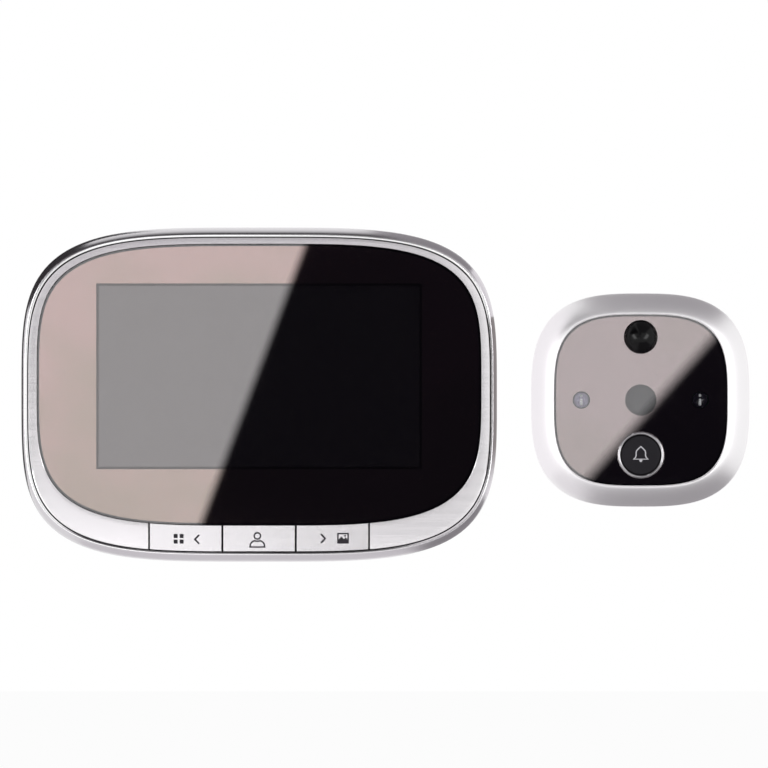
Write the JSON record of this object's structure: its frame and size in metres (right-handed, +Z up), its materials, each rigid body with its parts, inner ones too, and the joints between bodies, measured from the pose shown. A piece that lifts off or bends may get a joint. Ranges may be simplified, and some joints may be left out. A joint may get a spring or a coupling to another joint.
{
  "type": "peephole door camera",
  "caption": "Door viewer: a rounded indoor screen unit with push keys that lifts off a hook bracket, and a domed outdoor camera unit with motion dome, night lights and bell button.",
  "frame": {"origin": "centre between the door bracket's two screw slots, which is the centre of its cable hole, on the plane of the door", "axes": "+X to the right seen from the front, +Y into the door, +Z up; both units face -Y, and the outdoor unit is set beside the indoor one as in the picture"},
  "size_m": [0.2146, 0.022, 0.0984],
  "materials": {
    "black_plastic": "fine textured",
    "satin_metal": "satin",
    "brushed_plate": "brushed",
    "cover_glass": "polished",
    "mirror_film": "half mirror",
    "display_glass": "semi-gloss",
    "backlight": "diffuse",
    "sheet_steel": "plated",
    "board": "lacquered",
    "switch_plastic": "moulded",
    "socket_plastic": "moulded",
    "battery_wrap": "shrink wrap",
    "screw_steel": "plated",
    "key_metal": "brushed",
    "panel_glass": "polished",
    "dome_plastic": "glossy",
    "window_glass": "smoked, polished",
    "lens_glass": "coated",
    "chip": "glossy",
    "led_plastic": "clear moulded",
    "polished_metal": "polished",
    "rubber": "matt",
    "insert_brass": "turned",
    "foam": "closed-cell foam",
    "bell_plastic": "semi-gloss"
  },
  "bodies": {
    "door_side": {"door_bracket": "sheet_steel", "camera_rim": "satin_metal", "camera_panel": "panel_glass", "panel_film": "mirror_film", "pir_lens": "dome_plastic", "pir_sensor": "sheet_steel", "lens_window": "window_glass", "lens_holder": "switch_plastic", "lens_barrel": "switch_plastic", "lens_glass": "lens_glass", "image_sensor": "chip", "night_leds": "led_plastic", "bell_ring": "polished_metal", "bell_switch": "switch_plastic", "camera_board": "board", "board_header": "socket_plastic", "camera_back_plate": "black_plastic", "cable_grommet": "rubber", "threaded_inserts": "insert_brass", "camera_screws": "screw_steel", "door_gasket": "foam"},
    "monitor": {"rear_cover": "black_plastic", "mid_housing": "satin_metal", "front_bezel": "brushed_plate", "front_glass": "cover_glass", "mirror_film": "mirror_film", "lcd_panel": "display_glass", "lcd_backlight": "backlight", "lcd_frame": "sheet_steel", "main_board": "board", "key_switches": "switch_plastic", "cable_socket": "socket_plastic", "usb_socket": "sheet_steel", "card_socket": "sheet_steel", "power_switch_body": "sheet_steel", "battery_pack": "battery_wrap", "speaker": "switch_plastic", "case_screws": "screw_steel"},
    "key_menu": {"key_menu": "key_metal", "key_menu_stem": "switch_plastic"},
    "key_view": {"key_view": "key_metal", "key_view_stem": "switch_plastic"},
    "key_gallery": {"key_gallery": "key_metal", "key_gallery_stem": "switch_plastic"},
    "power_knob": {"power_knob": "switch_plastic"},
    "bell_button": {"bell_button": "bell_plastic", "bell_stem": "switch_plastic"}
  },
  "joints": [
    {"name": "monitor_lift", "type": "slide", "parent": "door_side", "child": "monitor", "axis": [0, 0, 1], "range_m": [0, 0.0052]},
    {"name": "press_menu", "type": "slide", "parent": "monitor", "child": "key_menu", "axis": [0, 1, 0], "range_m": [0, 0.0005], "stiffness_N_per_m": 400, "springref_m": -0.002},
    {"name": "press_view", "type": "slide", "parent": "monitor", "child": "key_view", "axis": [0, 1, 0], "range_m": [0, 0.0005], "stiffness_N_per_m": 400, "springref_m": -0.002},
    {"name": "press_gallery", "type": "slide", "parent": "monitor", "child": "key_gallery", "axis": [0, 1, 0], "range_m": [0, 0.0005], "stiffness_N_per_m": 400, "springref_m": -0.002},
    {"name": "power_slide", "type": "slide", "parent": "monitor", "child": "power_knob", "axis": [0, 0, 1], "range_m": [0, 0.002]},
    {"name": "bell_press", "type": "slide", "parent": "door_side", "child": "bell_button", "axis": [0, 1, 0], "range_m": [0, 0.0008], "stiffness_N_per_m": 500, "springref_m": -0.002}
  ]
}
